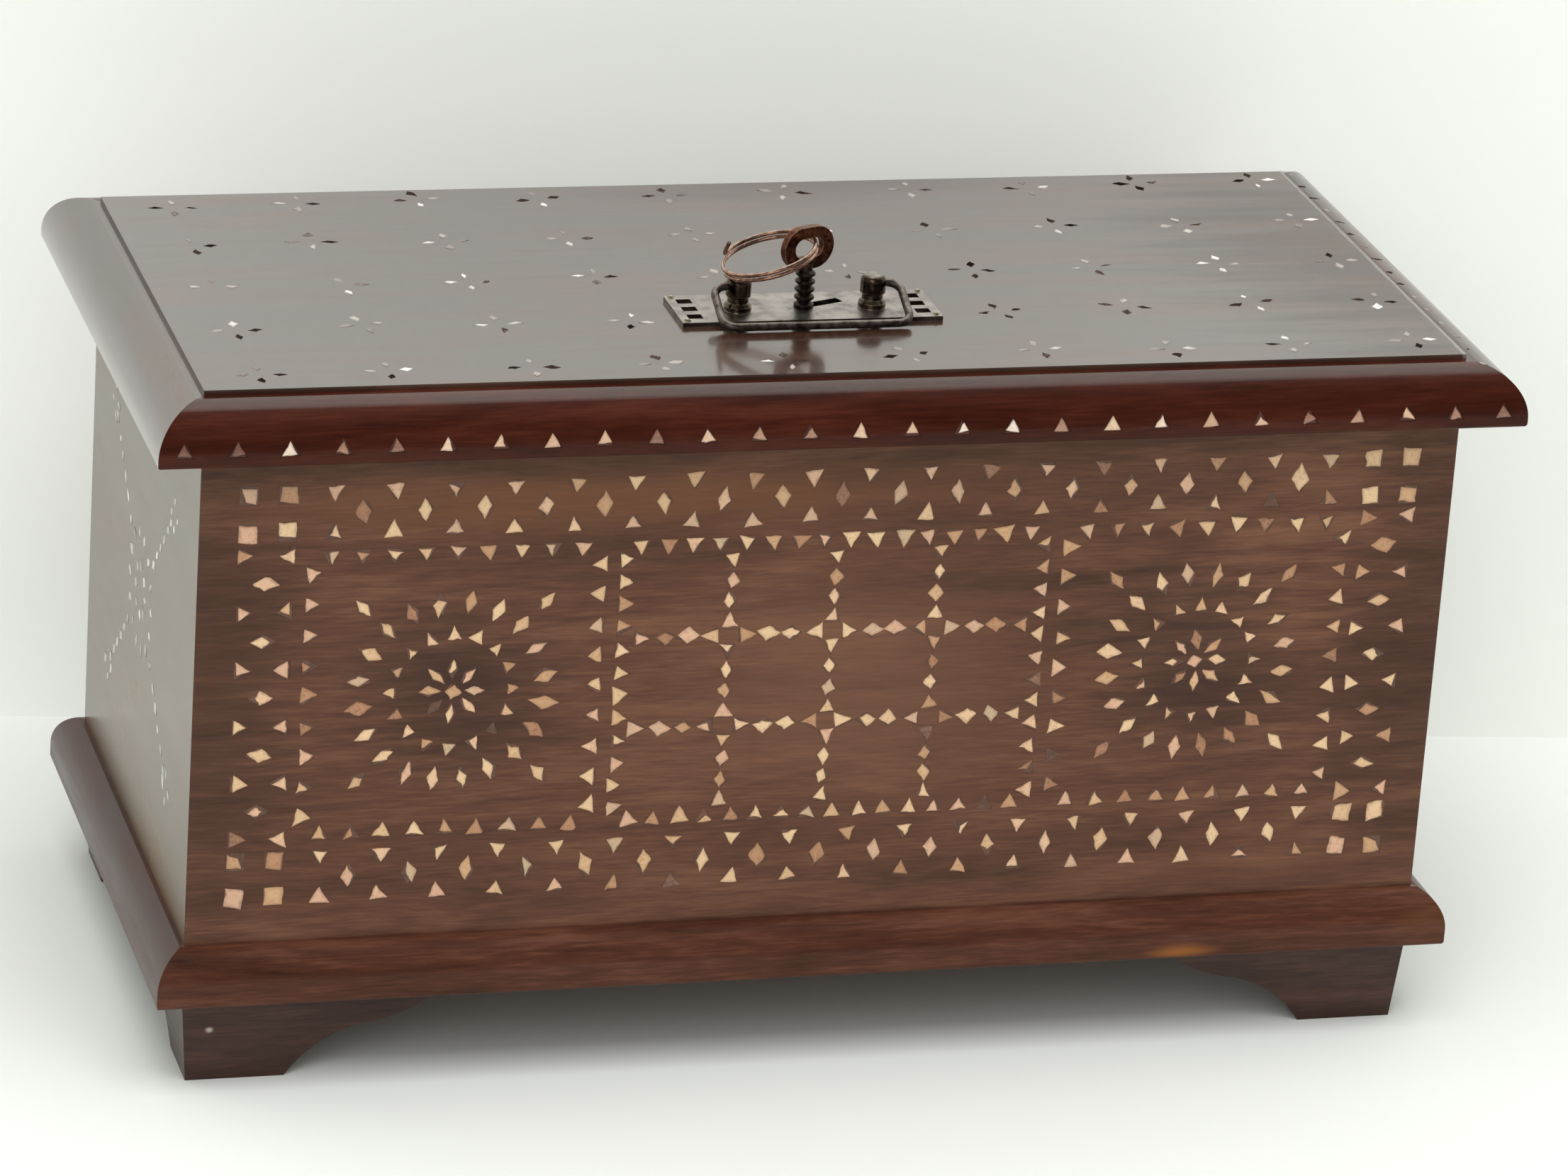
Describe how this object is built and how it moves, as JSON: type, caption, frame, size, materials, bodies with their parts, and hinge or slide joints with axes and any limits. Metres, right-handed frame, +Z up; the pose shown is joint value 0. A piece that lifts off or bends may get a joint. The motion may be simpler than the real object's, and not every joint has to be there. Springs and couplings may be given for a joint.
{
  "type": "storage chest",
  "caption": "Low wooden storage chest on bracket feet with geometric inlay, a hinged lid and a lock whose key stands in a handle plate on top.",
  "frame": {"origin": "on the floor under the middle of the chest", "axes": "+X along the front to the right, +Y from the front to the hinged back, +Z up"},
  "size_m": [0.454, 0.224, 0.269],
  "materials": {
    "stained_wood": "dark stained hardwood with a worn satin polish",
    "polished_wood": "red-brown hardwood with a glossy polish",
    "plain_wood": "unpolished softwood",
    "shell_and_bone": "polished shell and bone chips, yellowed",
    "hinge_brass": "tarnished",
    "dark_bronze": "dark patina, rubbed bright on the edges",
    "tack_brass": "rubbed bright",
    "lock_iron": "blackened",
    "key_iron": "brown patina",
    "ring_wire": "bright drawn wire",
    "screw_iron": "blackened"
  },
  "bodies": {
    "chest": {"bottom_board": "plain_wood", "base_rail_front": "polished_wood", "base_rail_right": "polished_wood", "base_rail_back": "polished_wood", "base_rail_left": "polished_wood", "foot_front_left_long_bracket": "polished_wood", "foot_front_left_side_bracket": "polished_wood", "foot_front_right_long_bracket": "polished_wood", "foot_front_right_side_bracket": "polished_wood", "foot_back_left_long_bracket": "polished_wood", "foot_back_left_side_bracket": "polished_wood", "foot_back_right_long_bracket": "polished_wood", "foot_back_right_side_bracket": "polished_wood", "foot_glue_blocks": "plain_wood", "front_inlay_triangles": "shell_and_bone", "front_inlay_lozenges": "shell_and_bone", "front_inlay_squares": "shell_and_bone", "front_panel": "stained_wood", "right_panel": "stained_wood", "back_panel": "stained_wood", "left_panel": "stained_wood", "hinge_lower_leaf_left": "hinge_brass", "hinge_lower_leaf_right": "hinge_brass", "hinge_pin_left": "hinge_brass", "hinge_pin_right": "hinge_brass", "hinge_screws_lower": "screw_iron", "lock_keeper": "lock_iron", "lock_keeper_screws": "screw_iron"},
    "lid": {"lid_board": "polished_wood", "lid_rail_front": "polished_wood", "lid_rail_right": "polished_wood", "lid_rail_back": "polished_wood", "lid_rail_left": "polished_wood", "lid_edge_inlay": "shell_and_bone", "hinge_upper_leaf_left": "hinge_brass", "hinge_upper_leaf_right": "hinge_brass", "hinge_screws_upper": "screw_iron", "handle_plate": "dark_bronze", "handle_plate_tacks": "tack_brass", "handle_post_left": "dark_bronze", "handle_post_right": "dark_bronze", "handle_nuts": "lock_iron", "lock_case": "lock_iron", "lock_case_screws": "screw_iron"},
    "bail": {"bail": "dark_bronze"},
    "lock_barrel": {"lock_barrel": "lock_iron"},
    "lock_bolt": {"lock_bolt": "lock_iron"},
    "key": {"key": "key_iron"},
    "key_ring": {"key_ring": "ring_wire"}
  },
  "joints": [
    {"name": "lid_hinge", "type": "hinge", "parent": "chest", "child": "lid", "pos_m": [0, 0.098, 0.21965], "axis": [-1, 0, 0], "range_deg": [0, 100]},
    {"name": "bail_hinge", "type": "hinge", "parent": "lid", "child": "bail", "pos_m": [0, -0.0375, 0.2494], "axis": [-1, 0, 0], "range_deg": [0, 90]},
    {"name": "key_turn", "type": "hinge", "parent": "lid", "child": "lock_barrel", "pos_m": [0, -0.036, 0.215], "axis": [0, 0, -1], "range_deg": [0, 90]},
    {"name": "bolt_slide", "type": "slide", "parent": "lid", "child": "lock_bolt", "axis": [0, -1, 0], "range_m": [0, 0.008]},
    {"name": "key_lift", "type": "slide", "parent": "lock_barrel", "child": "key", "axis": [0, 0, 1], "range_m": [0, 0.04]},
    {"name": "ring_swing", "type": "hinge", "parent": "key", "child": "key_ring", "pos_m": [0.0026, -0.036, 0.2626], "axis": [0, 1, 0], "range_deg": [0, 150]}
  ],
  "couplings": [
    {"joint": "key_turn", "follows": "bolt_slide", "rad_per_m": 196.34}
  ]
}
